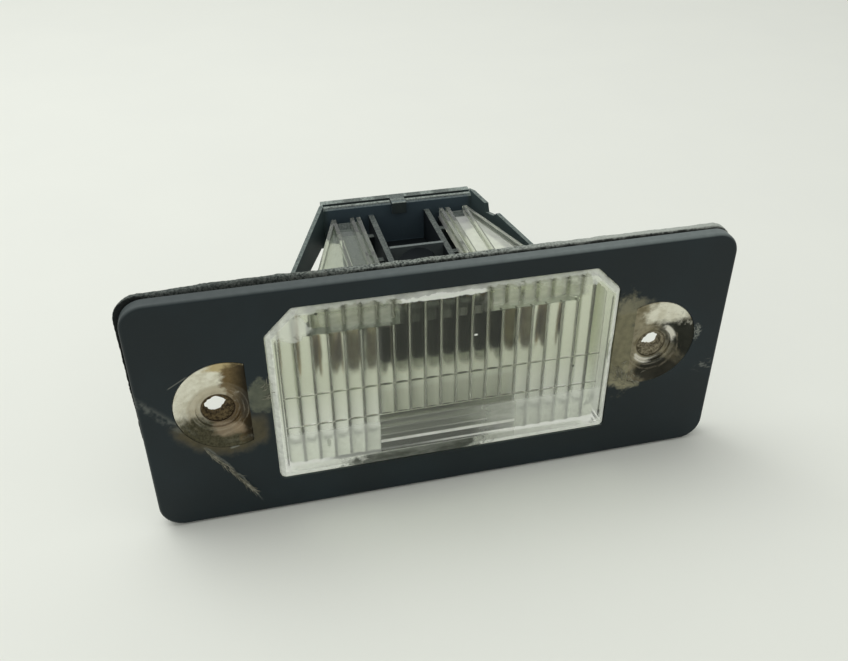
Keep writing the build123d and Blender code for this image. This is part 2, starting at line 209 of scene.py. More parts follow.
def plate_finish():
    """Satin black plastic with tool grain, dust with painted light on the upward faces, a dusty thread,
    scuffs and dirt films round the dishes.
    """
    finish = Finish("satin_black_plate")
    x, z = finish.x, finish.z
    on_face = finish.y.rise(plate_face_y + 0.6, plate_face_y + 0.2)
    cloud = finish.noise(11.0, 3.0)
    ragged = finish.noise(1.1, 4.0)
    crumbs = finish.noise(0.4, 4.0, 0.7)
    fuzz = 7.0 * finish.noise(1.8, 6.0, 0.65) - 3.5
    specks = crumbs.rise(0.66, 0.78) * cloud.rise(0.45, 0.75)
    # Dust on upward faces and painted light: the plate's top wall is painted paler, as if lit from above,
    # more towards the right.
    dust_and_top_light = finish.upward() * (0.30 + 0.45 * x.rise(-40.0, 35.0)) * (0.7 + 0.5 * ragged)

    # Loose dust at the left end, the thread, two scratches and the scuffs.
    wisp = abs(z - 3.9 + 1.07 * (x + 42.4) + 2.4 * ragged - 1.2).rise(1.4, 0.1) * ragged.rise(0.35, 0.65)
    wisp = wisp * x.rise(-36.6, -38.6) * on_face
    fall = -5.0 - z
    beside = x + 35.05 - 0.75 * fall + 0.0145 * fall * fall + 0.9 * ragged - 0.45
    thread = (abs(beside) / (0.5 - 0.025 * fall)).rise(1.0, 0.2) * (0.1 + crumbs)
    thread = thread * fall.rise(-0.4, 0.6) * fall.rise(12.2, 9.5) * on_face
    scratch = on_face * (z - 5.8 - 0.583 * (x + 38.4)).near(0.0, 0.04, 0.15) * x.near(-37.2, 1.0, 1.5)
    dash = on_face * (z + 5.65 - 0.23 * (x + 31.05)).near(0.0, 0.08, 0.26) * x.near(-31.05, 0.4, 0.8)
    scuffs = finish.noise(0.7, 5.0, 0.7, finish.stretched(2.4, 1.0, 1.0)).rise(0.5, 0.66)
    scuffs = (0.7 * scuffs * finish.patch((41.4, -4.1), (2.2, 1.1), 0.4 * fuzz)).either(
        crumbs.rise(0.42, 0.6) * finish.patch((38.6, 2.3), (0.9, 1.3), 0.8 * fuzz, 0.8)
    )
    scuffs = scuffs * on_face

    # Dirt films: soil under the left dish, olive beside it, and a crust, a band and a clump at the right one.
    rim_soil = (finish.away(dish_x, dish_z) + 0.4 * fuzz).rise(dish_radius + 2.1, dish_radius + 0.2)
    rim_soil = rim_soil * z.rise(0.5, -2.5) * x.rise(-25.5, -27.0) * on_face
    olive = on_face * finish.patch((-26.6, 2.6), (2.0, 2.8), 0.6 * fuzz)
    crust = on_face * finish.patch((26.9, 2.2), (2.7, 7.6), 0.5 * fuzz, 0.6)
    band = on_face * finish.patch((27.4, 8.8), (2.8, 1.2), 0.6 * fuzz, 0.8)
    clump = on_face * finish.patch((27.8, -4.2), (2.9, 2.0), 0.7 * fuzz, 0.8)
    film = olive.either(crust).either(band).either(clump).either(rim_soil)

    colour = finish.mix(cloud.rise(0.35, 0.75), tone(13, 26, 30), tone(19, 33, 38))
    colour = finish.mix(dust_and_top_light, colour, tone(112, 122, 120))
    colour = finish.mix(0.3 * specks, colour, tone(120, 124, 118))
    colour = finish.mix(rim_soil * (0.35 + 0.9 * ragged), colour, tone(86, 80, 60))
    colour = finish.mix(olive * (0.3 + 0.9 * ragged), colour, tone(104, 108, 92))
    colour = finish.mix(crust * (0.4 + 0.9 * ragged), colour, tone(128, 124, 98))
    colour = finish.mix(0.7 * band, colour, tone(126, 124, 104))
    colour = finish.mix(clump * (0.3 + crumbs), colour, tone(150, 146, 120))
    colour = finish.mix((0.35 * wisp).either(0.8 * thread).either(0.8 * scuffs), colour, tone(132, 136, 128))
    colour = finish.mix((0.45 * scratch).either(0.7 * dash), colour, tone(132, 134, 124))
    relief = finish.noise(0.16, 2.0) + 4.0 * film * crumbs
    return finish.done(finish.shader(
        Base_Color=colour,
        Roughness=(0.40 + 0.16 * cloud).either(0.9 * film),
        Specular_IOR_Level=0.30,
        Normal=finish.bump(relief, 0.012),
    ))


paint(["bezel"], plate_finish())

# The lens: one clear acrylic moulding with the fluted window, the screw dishes and the snap arms.
# It is clipped into the back of the plate; age has hazed it, with painted light and shade in its tint, haze
# and films, dirt lies in its grooves, and the screws have rusted into the dishes.

window_half, window_top, window_bottom, window_rim = 25.2, 15.7, -13.0, 1.55
flute_count = 21
prism_half, prism_top = 10.3, -4.85
shield_half = 9.65
screw_x, hole_radius = 32.6, 2.3


def left_dish_stain(finish, cream, crumbs, fuzz, from_hole):
    """Cream film with a gold upper edge; rust lies over it towards the window, olive dirt over it below, and
    painted shade darkens its side towards the window.
    """
    x, z = finish.x, finish.z
    ragged = 0.4 * fuzz
    gold = finish.patch((-30.6, 7.9), (2.9, 1.1), ragged)
    worn_seat = from_hole.rise(4.7, 3.8)
    low_side = (z + 0.35 * x + 11.2 + 0.6 * fuzz).rise(-0.6, -3.4)
    olive = finish.mix(crumbs.rise(0.3, 0.7), tone(62, 61, 46), tone(94, 91, 71))
    rusted = finish.patch((-28.9, 5.2), (2.9, 3.4), ragged).either(
        finish.patch((-28.6, -0.6), (2.6, 4.6), ragged)
    )
    rust = finish.mix((x + 0.2 * fuzz).rise(-31.2, -28.4), tone(122, 104, 72), tone(50, 44, 32))
    rust = finish.mix(0.3 * crumbs.rise(0.35, 0.65), rust, tone(60, 50, 34))
    rust_run = finish.patch((-30.9, -1.3), (2.8, 1.9), ragged)
    # Painted shade on the dish's side towards the window.
    painted_side_shade = finish.patch((-28.0, -1.6), (1.6, 4.0), ragged, 0.7)
    bare_spot = finish.patch((-31.6, -3.4), (2.3, 0.9), ragged, 0.7)
    stain = finish.mix(0.75 * gold, cream, tone(184, 160, 98))
    stain = finish.mix(0.6 * worn_seat, stain, tone(166, 154, 126))
    stain = finish.mix(low_side, stain, olive)
    stain = finish.mix(rusted, stain, rust)
    stain = finish.mix(rust_run, stain, tone(94, 76, 48))
    stain = finish.mix(0.8 * painted_side_shade, stain, tone(48, 41, 28))
    return finish.mix(0.6 * bare_spot, stain, tone(176, 158, 132))


def right_dish_stain(finish, cream, mottle, fuzz, from_hole):
    """Grey-brown film, nearly black outwards and below, with cream above and pale arcs round the hole that
    are painted highlights on its rims.
    """
    x, z = finish.x, finish.z
    outer_side = (x + 0.55 * z + 0.6 * fuzz).rise(33.6, 36.6) * z.rise(6.5, 4.0)
    low_side = finish.patch((34.0, -4.4), (4.4, 2.2), 0.3 * fuzz, 0.6)
    high_side = finish.patch((33.7, 6.6), (3.2, 2.5), 0.5 * fuzz, 0.85)
    streaks = finish.noise(0.5, 3.0, 0.6, finish.stretched(1.0, 1.0, 3.0)).rise(0.5, 0.62)
    streaks = streaks * finish.patch((36.9, 5.2), (1.3, 2.0), 0.3 * fuzz)
    # The pale arcs are painted highlights on the rims round the hole.
    outer_arc = from_hole.near(3.5, 0.25, 0.6) * finish.patch((35.6, 2.4), (1.5, 2.0), 0.4 * fuzz)
    low_arc = from_hole.near(3.0, 0.2, 0.5) * finish.patch((31.4, -2.3), (2.2, 0.9), 0.4 * fuzz)
    stain = finish.mix(mottle.rise(0.3, 0.7), tone(158, 151, 126), tone(120, 112, 88))
    stain = finish.mix(0.95 * outer_side, stain, tone(36, 39, 36))
    stain = finish.mix(0.92 * low_side, stain, tone(34, 36, 33))
    stain = finish.mix(high_side, stain, cream)
    stain = finish.mix(0.6 * streaks, stain, tone(190, 188, 174))
    return finish.mix(0.9 * outer_arc.either(low_arc), stain, tone(236, 233, 219))


def dish_stain(finish, mottle, crumbs, fuzz):
    """The stains of both dishes under the screws' rings, the rusty edges of the holes and dark crumbs."""
    from_hole = finish.away(screw_x, 0.0)
    on_right = finish.x.rise(-1.0, 1.0)
    cream = finish.mix(mottle.rise(0.35, 0.7), tone(242, 240, 222), tone(218, 214, 192))
    left = left_dish_stain(finish, cream, crumbs, fuzz, from_hole)
    right = right_dish_stain(finish, cream, mottle, fuzz, from_hole)
    ring = (1.7 * from_hole + 0.15 * fuzz).maths("FRACT")
    rings = abs(ring - 0.5).rise(0.25, 0.46) * from_hole.rise(4.7, 4.2) * mottle.rise(0.35, 0.65)
    hole_edge = finish.mix(on_right, tone(62, 46, 27), tone(96, 88, 68))
    stain = finish.mix(on_right, left, right)
    stain = finish.mix(0.2 * rings, stain, tone(208, 198, 174))
    stain = finish.mix(0.92 * from_hole.rise(hole_radius + 0.2, hole_radius), stain, hole_edge)
    return finish.mix(0.4 * crumbs.rise(0.62, 0.74), stain, tone(66, 52, 34))


def lens_finish():
    """Clear acrylic greyed by age, with painted light and shade in its tint, haze and films, frosted window
    edges, dirty grooves and rusty screw dishes.
    """
    finish = Finish("aged_clear_acrylic")
    x, y, z = finish.x, finish.y, finish.z
    aside = abs(x)
    mottle = finish.noise(1.3, 4.0)
    streaky = finish.noise(1.2, 4.0, 0.6, finish.stretched(2.2, 1.0, 0.8))
    crumbs = finish.noise(0.45, 4.0, 0.7)
    fuzz = 7.0 * finish.noise(1.6, 5.0, 0.6) - 3.5

    # Where the window's front and back, its prisms, the shield behind it, the dishes and the arms are.
    on_window = aside.rise(window_half + 0.2, window_half)
    on_window = on_window * z.rise(window_bottom - 0.2, window_bottom) * z.rise(window_top + 0.2, window_top)
    front = on_window * y.rise(-2.6, -3.2)
    back = on_window * y.rise(-2.2, -1.6) * y.rise(0.0, -0.5)
    on_prisms = aside.rise(prism_half + 0.1, prism_half - 0.1) * z.rise(prism_top + 0.15, prism_top - 0.15)
    on_shield = aside.rise(shield_half + 0.25, shield_half - 0.25) * z.rise(1.5, 3.5)
    in_dish = finish.away(dish_x, dish_z).rise(dish_radius + 0.3, dish_radius)
    in_dish = in_dish * aside.rise(dish_side - 0.4, dish_side) * y.rise(0.2, -0.4)
    arms = y.rise(-1.2, -0.9) * z.rise(10.1, 10.3) * z.rise(12.6, 12.4) * aside.rise(20.0, 19.8)
    on_ribs = z.rise(11.45, 11.6)
    on_right = x.rise(-3.0, 3.0)

    # Frost along the window's edges, with dirt in its foot and ragged remains at its head.
    foot_ends = abs(x + 5.5 + 2.5 * fuzz).rise(8.0, 12.0)
    side_frost = 0.95 * aside.rise(24.1, 24.5)
    foot_frost = 0.95 * z.rise(-11.4, -11.9) * foot_ends
    head_frost = 0.6 * z.rise(14.5, 15.0)
    corner_frost = 0.8 * (aside + z).rise(35.4, 36.2)
    frost = side_frost.either(foot_frost).either(head_frost).either(corner_frost) * (0.35 + 1.0 * streaky)
    left_frost = 0.5 * finish.patch((-22.4, 12.8), (3.2, 2.0), 0.5 * fuzz)
    right_frost = (0.3 + 0.6 * crumbs) * finish.patch((18.5, 14.6), (5.5, 1.0), 0.5 * fuzz)
    frost = frost.either(left_frost).either(right_frost) * front
    ragged_head = finish.patch((-1.2, 14.9), (6.6, 0.4), 0.5 * fuzz, 0.4) * front
    foot_dirt = z.rise(-10.4, -10.9) * (1.0 - foot_ends) * front * (0.7 + 0.5 * streaky)
    seam = aside.near(23.95, 0.08, 0.2) * z.rise(-11.0, -10.0) * z.rise(11.6, 11.0) * front
    specks = finish.patch((18.9, -0.1), (0.2, 0.25)).either(finish.patch((-18.3, 14.7), (0.25, 0.2)))
    specks = specks.either(0.6 * finish.patch((-17.9, -7.3), (0.3, 0.8), 0.5 * fuzz)) * front
    white_speck = finish.patch((3.7, 7.9), (0.28, 0.16)) * front

    # Haze over the flutes, stronger in the lower rows as painted light; grey bands painted where the arms'
    # roots are seen through the window; dirt in the grooves and two bright lines on the prisms, which are
    # painted highlights.
    inner_half = window_half - window_rim
    flute = ((x + inner_half) / (2 * inner_half / flute_count)).maths("FRACT")
    crest = abs(flute - 0.5).rise(0.5, 0.2)
    groove = abs(flute - 0.5).rise(0.42, 0.49) * back * (1.0 - on_prisms)
    groove = groove * (0.15 + 0.6 * crumbs).either(0.9 * on_shield)
    painted_root_bands = finish.block((-18.3, -7.4), (11.6, 14.8), 0.7, 0.3 * fuzz).either(
        finish.block((5.0, 20.0), (11.9, 14.8), 0.7, 0.3 * fuzz)
    )
    painted_root_bands = painted_root_bands * front * (0.45 + 1.0 * streaky)
    flute_haze_and_light = (0.06 + 0.3 * z.rise(-4.4, -5.2)) * (1.0 - 0.65 * on_prisms)
    flute_haze_and_light = flute_haze_and_light * (1.0 - 0.9 * on_shield) * (0.8 + 0.4 * mottle) * front
    prism_haze = 0.34 * on_prisms * (x + 0.8 * fuzz).rise(-2.0, 10.0) * (0.6 + 0.8 * streaky) * front
    # Painted highlights: two bright lines across the prisms' front.
    low_line = z.near(-10.15, 0.1, 0.28) * (0.4 + 0.6 * x.rise(-6.0, 2.0))
    glint = z.near(-8.6, 0.18, 0.36).either(low_line) * on_prisms * front * (0.4 + 0.7 * streaky)

    # The clear plastic itself: its tint is lighter towards the bottom as painted light, and greyer in front
    # of the glare shield; light from lamps passes it as a tint, so that the space behind isn't dark.
    tint_and_painted_light = finish.mix(z.rise(4.0, -8.0), tone(206, 210, 190), tone(244, 247, 238))
    tint_and_painted_light = finish.mix(aside.rise(10.5, 9.0) * z.rise(0.9, 0.1), tint_and_painted_light, tone(192, 196, 178))
    tint_and_painted_light = finish.mix(on_prisms, tint_and_painted_light, tone(212, 216, 202))
    tint_and_painted_light = finish.mix(on_window, tone(246, 250, 245), tint_and_painted_light)
    clear = finish.shader(
        Base_Color=tint_and_painted_light,
        Roughness=0.05 + 0.06 * mottle + 0.17 * back,
        IOR=1.49,
        Specular_Tint=tone(150, 150, 150),
        Transmission_Weight=1.0,
        Normal=finish.bump(finish.noise(0.5, 3.0), 0.004),
    )
    lamp_ray = finish.node("ShaderNodeLightPath", out="Is Shadow Ray")
    let_through = finish.node("ShaderNodeBsdfTransparent", {}, {"Color": tone(222, 226, 216)})
    clear = finish.blend(lamp_ray, clear, let_through)

    # What covers it: frost and films, dirt and stains.
    # The right arm's film is near white and the left's grey: painted light on two like arms; the ribs take a
    # mid grey.
    arm_film_and_light = finish.mix(on_right, tone(164, 174, 168), tone(248, 251, 246))
    arm_film_and_light = finish.mix(on_ribs, arm_film_and_light, tone(214, 220, 215))
    # The bands over the arms' roots are painted darker at each flute's edges and paler on its crest: painted
    # shade and highlight of the flutes.
    painted_root_shading = finish.mix(crest, tone(96, 98, 85), tone(196, 200, 184))
    groove_dirt = finish.mix(on_shield, tone(92, 90, 74), tone(56, 58, 51))
    grime = finish.mix(in_dish, tone(236, 240, 231), dish_stain(finish, mottle, crumbs, fuzz))
    grime = finish.mix(arms, grime, arm_film_and_light)
    grime = finish.mix(painted_root_bands.rise(0.0, 0.2), grime, painted_root_shading)
    grime = finish.mix(groove.rise(0.0, 0.1), grime, groove_dirt)
    grime = finish.mix(foot_dirt.either(seam).either(specks), grime, tone(66, 70, 63))
    # The prisms' painted highlights, and a white speck, in near white.
    grime = finish.mix(glint.either(white_speck), grime, tone(248, 249, 243))
    covered = finish.shader(
        Base_Color=grime,
        Roughness=(0.4 + 0.3 * mottle).either(0.95 * in_dish),
        Specular_IOR_Level=0.12,
        Normal=finish.bump(crumbs * in_dish, 0.06),
    )
    # A thicker film on the right arm, part of its painted light.
    arm_cover = (0.26 + 0.08 * on_right) * (0.8 + 0.4 * mottle) * (1.0 - 0.6 * on_ribs) * arms
    cover = (0.97 * in_dish).either(frost).either(groove).either(0.85 * glint).either(0.9 * ragged_head)
    cover = cover.either(painted_root_bands * (0.55 - 0.1 * crest)).either(0.9 * foot_dirt).either(0.6 * seam)
    cover = cover.either(0.9 * specks.either(white_speck)).either(arm_cover)
    cover = cover.either(flute_haze_and_light).either(prism_haze).either(0.02)
    return finish.done(finish.blend(cover, clear, covered))


paint(["lens"], lens_finish())

# The gasket: a strip of grey closed-cell foam stuck round the back of the plate.
# It seals the lamp to the car's panel; it has spread and lifted at its upper left corner.


def lattice_noise(places, cell, seed):
    """Random numbers at the corners of a cubic lattice, blended smoothly between the corners; 0 to 1."""
    steps = places / cell
    base = np.floor(steps)
    share = steps - base
    share = share * share * (3 - 2 * share)
    total = np.zeros(places.shape[:-1])
    for corner in np.ndindex(2, 2, 2):
        lattice = (base + corner).astype(np.int64)
        mixed = lattice @ np.array([73856093, 19349663, 83492791]) + seed * 2654435761
        mixed = (mixed ^ (mixed >> 13)) * 1274126177
        chance = ((mixed ^ (mixed >> 16)) & 0xFFFF) / 0xFFFF
        total += chance * np.prod(np.where(corner, share, 1 - share), axis=-1)
    return total


def grid_mesh(name, points, closed_along, closed_around):
    """Four-sided faces over one or more grids of points, joined where a grid is closed, capped where not."""
    index = np.arange(points[..., 0].size).reshape(points.shape[:-1])
    if closed_along:
        index = np.concatenate([index, index[..., :1, :]], axis=-2)
    if closed_around:
        index = np.concatenate([index, index[..., :1]], axis=-1)
    corners = [index[..., :-1, :-1], index[..., :-1, 1:], index[..., 1:, 1:], index[..., 1:, :-1]]
    faces = np.stack(corners, axis=-1).reshape(-1, 4).tolist()
    if not closed_along:
        rim = points.shape[-2]
        first, last = index[..., 0, :rim][..., ::-1], index[..., -1, :rim]
        faces += first.reshape(-1, rim).tolist() + last.reshape(-1, rim).tolist()
    mesh = bpy.data.meshes.new(name)
    mesh.from_pydata(points.reshape(-1, 3).tolist(), [], faces)
    mesh.shade_smooth()
    piece = bpy.data.objects.new(name, mesh)
    bpy.context.scene.collection.objects.link(piece)
    return piece


def soft_rectangle(steps):
    """A square of side 2 with soft corners: a signed power of the cosine and of the sine of an angle."""
    squareness = 0.35
    turn = np.linspace(0, 2 * np.pi, steps, endpoint=False)[None, :]
    across = np.sign(np.cos(turn)) * np.abs(np.cos(turn)) ** squareness
    through = np.sign(np.sin(turn)) * np.abs(np.sin(turn)) ** squareness
    return across, through


def foam_ring(steps_along, steps_around):
    """A soft rectangle carried round the gasket's outline, like the tread of a wheel that rolls inside it.

    The wheel's centre and its angle are piecewise linear in the distance rolled. The left side leans out
    towards the top, the strip's front and back are piecewise linear in X, and two sizes of lattice noise
    roughen its skin.
    """
    low, high = (np.array(corner) * 1000 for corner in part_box("gasket"))
    radius, width = 3.5, 2.8
    half_x = high[0]
    middle_z, half_z = (low[2] + high[2]) / 2, (high[2] - low[2]) / 2
    centre_x, centre_z = half_x - radius, half_z - radius
    quarter = np.pi / 2
    runs = np.array([2 * centre_z, radius * quarter, 2 * centre_x, radius * quarter] * 2)
    knots = np.concatenate([[0], np.cumsum(runs)])
    rolled = np.linspace(0, knots[-1], steps_along, endpoint=False)
    right = np.array([1, 1, 1, -1, -1, -1, -1, 1, 1])
    top = np.array([-1, 1, 1, 1, 1, -1, -1, -1, -1])
    turned = np.array([0, 0, 1, 1, 2, 2, 3, 3, 4])
    angle = np.interp(rolled, knots, quarter * turned)[:, None]
    hub_x = np.interp(rolled, knots, centre_x * right)[:, None]
    hub_z = np.interp(rolled, knots, centre_z * top)[:, None]
    across, through = soft_rectangle(steps_around)
    reach = radius - width / 2 + across * width / 2
    x = hub_x + reach * np.cos(angle)
    z = hub_z + reach * np.sin(angle) + middle_z
    lean = (-low[0] / half_x - 1) * (z - low[2]) / (2 * half_z)
    x = np.where(x < 0, x * (1 + lean), x)
    knots_x = [-44.0, -31.0, -23.0, -12.0, 44.0]
    front = np.interp(x, knots_x, [-1.4, -0.8, -0.5, -1.2, -1.25])
    back = np.interp(x, knots_x, [-0.6, 0.3, 0.35, 0.0, 0.0])
    y = (front + back) / 2 + through * (back - front) / 2
    places = np.stack([np.broadcast_to(x, y.shape), y, np.broadcast_to(z, y.shape)], axis=-1)
    swollen = 0.06 - 0.10 * lattice_noise(places, 0.3, 1) - 0.10 * lattice_noise(places, 1.6, 2)
    outward = np.stack([across * np.cos(angle), through + 0 * angle, across * np.sin(angle)], axis=-1)
    return (places + outward * swollen[..., None]) / 1000


def foam_finish():
    """Dusty grey foam: cut cells seen as small dark pits, darker to the left and paler to the right, with a
    painted shade line along its front where it meets the plate.
    """
    finish = Finish("dusty_grey_foam")
    cells = finish.noise(0.34, 3.0, 0.7)
    cloud = finish.noise(4.0, 3.0)
    colour = finish.mix(cells.rise(0.38, 0.6), tone(54, 59, 56), tone(138, 145, 138))
    colour = finish.mix(0.3 * cloud.rise(0.45, 0.7), colour, tone(142, 146, 136))
    colour = finish.mix(0.65 * finish.x.rise(-5.0, -30.0), colour, tone(52, 58, 57))
    colour = finish.mix(0.7 * finish.x.rise(0.0, 30.0), colour, tone(176, 182, 174))
    # Painted shade: a dark line along the strip's front, where it meets the plate.
    colour = finish.mix(0.9 * finish.y.rise(-1.04, -1.2), colour, tone(20, 24, 24))
    return finish.done(finish.shader(
        Base_Color=colour, Roughness=0.92, Specular_IOR_Level=0.15, Normal=finish.bump(cells, 0.08)
    ))


foam_points = foam_ring(steps_along=1100, steps_around=44)
foam_strip = grid_mesh("foam_strip", foam_points, closed_along=True, closed_around=True)
foam_strip.data.materials.append(foam_finish())
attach(foam_strip, "root")
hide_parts("gasket")

# The rust in the screw holes: what the screws left when they were drawn, brown scale on plastic.
# It clings to each hole's wall, thickest low down, and narrows the hole.


def rust_ring(centre_x, thickest, least, steps_along, steps_around):
    """A soft rectangle carried round a screw hole, standing inwards from its wall.

    Its thickness is a least value plus a power of half of one plus the cosine of the angle from the thickest
    side, and two sizes of lattice noise roughen it.
    """
    radius, front, back = hole_radius - 0.01, -1.48, -0.02
    most_added, thinnest = 1.25, 0.05
    angle = np.linspace(0, 2 * np.pi, steps_along, endpoint=False)[:, None]
    across, through = soft_rectangle(steps_around)
    y = (front + back) / 2 + through * (back - front) / 2 + 0 * angle
    wall_x, wall_z = centre_x + radius * np.cos(angle) + 0 * y, radius * np.sin(angle) + 0 * y
    on_wall = np.stack([wall_x, y, wall_z], axis=-1)
    rough = lattice_noise(on_wall, 0.8, 3) + 0.5 * lattice_noise(on_wall, 0.3, 4)
    thickness = least + most_added * ((1 + np.cos(angle - thickest)) / 2) ** 1.5 + 0.35 * (rough - 0.75)
    reach = radius - np.maximum(thickness, thinnest) * (1 - across) / 2
    return np.stack([centre_x + reach * np.cos(angle), y, reach * np.sin(angle)], axis=-1) / 1000


def rust_finish():
    """Brown scale with darker and lighter crumbs, greyer in the right hole."""
    finish = Finish("rust_scale")
    crumbs = finish.noise(0.4, 4.0, 0.7)
    on_right = finish.x.rise(-1.0, 1.0)
    dark = finish.mix(on_right, tone(47, 39, 26), tone(78, 72, 56))
    light = finish.mix(on_right, tone(106, 92, 66), tone(150, 142, 120))
    colour = finish.mix(crumbs.rise(0.35, 0.65), dark, light)
    return finish.done(finish.shader(
        Base_Color=colour, Roughness=0.95, Specular_IOR_Level=0.15, Normal=finish.bump(crumbs, 0.1)
    ))


scale = rust_finish()
for side, centre_x, thickest, least in (("left", -screw_x, -0.9, 0.3), ("right", screw_x, -1.7, 0.45)):
    ring = rust_ring(centre_x, thickest, least, steps_along=160, steps_around=28)
    rust = grid_mesh("rust_" + side, ring, closed_along=True, closed_around=True)
    rust.data.materials.append(scale)
    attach(rust, "root")

# The lint: hairs and fluff that stick to the plate beside the dishes, one long tuft below the left one.
# Each hair is a fine tapering strand lying on the plate's face.


def hairs(count, first, last, scatter, heading, wander, length, seed, steps=9):
    """Strands of three sides, each along an arc on the plate's face, tapered by a half sine to a fine tip.

    The arcs start between two places in X and Z, scattered about that line; their headings, lengths and turns
    vary at random, and each arc lifts off the plate in the shape of a half sine.
    """
    random = np.random.default_rng(seed)
    along = np.linspace(0, 1, steps)[None, :]
    share = random.uniform(0, 1, size=(count, 1))
    start = np.array(first) * (1 - share) + np.array(last) * share + random.normal(size=(count, 2)) * scatter
    course = heading + wander * (random.normal(size=(count, 1)) + random.normal(size=(count, 1)) * along)
    reach = length * random.uniform(0.5, 1.1, size=(count, 1))
    x = start[:, :1] + reach * along * np.cos(course)
    z = start[:, 1:] + reach * along * np.sin(course)
    lift = 0.06 + random.uniform(0.03, 0.25, size=(count, 1)) * np.sin(np.pi * along)
    thick = random.uniform(0.02, 0.045, size=(count, 1)) * (0.15 + np.sin(np.pi * along))
    corner = np.array([0.0, 2.0, 4.0]) * np.pi / 3
    sideways, outward = thick[..., None] * np.cos(corner), thick[..., None] * np.sin(corner)
    places = [
        x[..., None] - sideways * np.sin(course)[..., None],
        plate_face_y - lift[..., None] - outward,
        z[..., None] + sideways * np.cos(course)[..., None],
    ]
    return np.stack(places, axis=-1) / 1000


def lint_finish():
    """Dull grey-brown fluff."""
    finish = Finish("grey_lint")
    colour = finish.mix(finish.noise(0.6, 3.0).rise(0.35, 0.65), tone(112, 112, 98), tone(160, 158, 142))
    return finish.done(finish.shader(Base_Color=colour, Roughness=0.95, Specular_IOR_Level=0.1))


tufts = {
    "lint_below_left": hairs(
        90, (-35.2, -4.9), (-29.4, -14.0), scatter=0.13, heading=-1.04, wander=0.13, length=2.4, seed=1
    ),
    "lint_beside_left": hairs(
        18, (-26.4, 1.2), (-25.6, 4.9), scatter=0.35, heading=0.5, wander=0.45, length=1.4, seed=2
    ),
    "lint_beside_right": hairs(
        70, (26.3, -3.2), (28.6, -5.0), scatter=0.75, heading=1.9, wander=0.5, length=1.7, seed=3
    ),
    "lint_tip_right": hairs(
        14, (28.9, -4.4), (29.3, -5.2), scatter=0.2, heading=-0.5, wander=0.25, length=1.5, seed=4
    ),
}
fluff = lint_finish()
for name, tuft in tufts.items():
    lint = grid_mesh(name, tuft, closed_along=False, closed_around=True)
    lint.data.materials.append(fluff)
    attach(lint, "root")

# The contacts: two strips of brass, stamped and bent, with an eye round each end of the bulb.
# They stand on the carrier's cross wall, and their pins reach through it into the plug socket.


def tarnished_metal(name, bright, dull):
    """Sheet metal gone dull in clouds, with dark spots."""
    finish = Finish(name)
    tarnish = finish.noise(2.0, 4.0)
    spots = finish.noise(0.5, 3.0).rise(0.62, 0.72)
    colour = finish.mix(tarnish.rise(0.35, 0.7), bright, dull)
    colour = finish.mix(0.6 * spots, colour, tone(52, 42, 30))
    return finish.done(finish.shader(
        Base_Color=colour,
        Metallic=0.9 - 0.5 * spots,
        Roughness=0.32 + 0.35 * tarnish,
        Normal=finish.bump(finish.noise(0.2, 2.0), 0.006),
    ))


brass = tarnished_metal("tarnished_brass", tone(178, 150, 98), tone(110, 88, 58))
paint(["contact_left", "contact_right"], brass)

# The bulb: a festoon lamp, a glass tube between two metal caps, with a coiled filament on two leads.
# It is sprung between the eyes of the contacts, behind the glare shield.


def bulb_glass_finish():
    """Clear glass with a grey bloom from long use."""
    finish = Finish("smoky_bulb_glass")
    bloom = finish.noise(6.0, 3.0)
    return finish.done(finish.shader(
        Base_Color=finish.mix(bloom, tone(232, 234, 230), tone(205, 206, 200)),
        Roughness=0.02 + 0.06 * bloom,
        IOR=1.5,
        Transmission_Weight=1.0,
    ))


paint(["bulb_glass"], bulb_glass_finish())
nickel = tarnished_metal("dull_nickel", tone(170, 160, 142), tone(112, 98, 78))
paint(["bulb_cap_left", "bulb_cap_right"], nickel)
wire = tarnished_metal("lead_wire", tone(160, 156, 150), tone(120, 114, 106))
paint(["bulb_lead_left", "bulb_lead_right"], wire)
paint(["bulb_filament"], tarnished_metal("tungsten_coil", tone(120, 120, 122), tone(84, 84, 86)))

# The bulb carrier and its rear cover: black plastic mouldings behind the lens.
# The carrier is clipped between the lens's arms, and the cover hooks over its rear wall.

rear_wall_y, wing_flare = 28.9, 0.42
dust_and_highlight_above = 8.5


